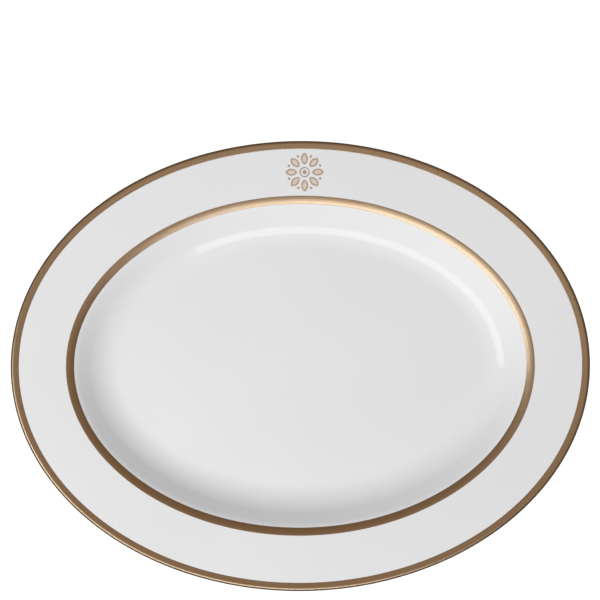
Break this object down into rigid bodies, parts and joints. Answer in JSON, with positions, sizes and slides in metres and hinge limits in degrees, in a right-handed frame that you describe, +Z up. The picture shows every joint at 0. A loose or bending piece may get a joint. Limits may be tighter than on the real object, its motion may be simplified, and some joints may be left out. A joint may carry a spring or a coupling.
{
  "type": "oval serving platter",
  "caption": "Oval glazed china serving platter: gently sloped rim, shallow flat-bottomed well, foot ring, gilt bands at lip and verge, and a gilt rosette on the rim.",
  "frame": {"origin": "centre of the foot ring's resting plane, midway along the platter's length and width", "axes": "+X along the length, +Y across the width towards the side of the rim that carries the rosette, +Z up out of the well"},
  "size_m": [0.36, 0.28, 0.026],
  "materials": {
    "bare_china": "matt unglazed",
    "white_glaze": "high gloss",
    "band_gold": "burnished",
    "rosette_gold": "satin"
  },
  "bodies": {
    "root": {"bisque_body": "bare_china", "glaze_coat": "white_glaze", "recess_glaze": "white_glaze", "rim_gold_band": "band_gold", "rosette_bead_1": "rosette_gold", "rosette_bead_2": "rosette_gold", "rosette_bead_3": "rosette_gold", "rosette_bead_4": "rosette_gold", "rosette_bead_5": "rosette_gold", "rosette_bead_6": "rosette_gold", "rosette_bead_7": "rosette_gold", "rosette_bead_8": "rosette_gold", "rosette_boss": "rosette_gold", "rosette_petal_1": "rosette_gold", "rosette_petal_2": "rosette_gold", "rosette_petal_3": "rosette_gold", "rosette_petal_4": "rosette_gold", "rosette_petal_5": "rosette_gold", "rosette_petal_6": "rosette_gold", "rosette_petal_7": "rosette_gold", "rosette_petal_8": "rosette_gold", "rosette_ring": "rosette_gold", "verge_gold_band": "band_gold"}
  },
  "joints": []
}
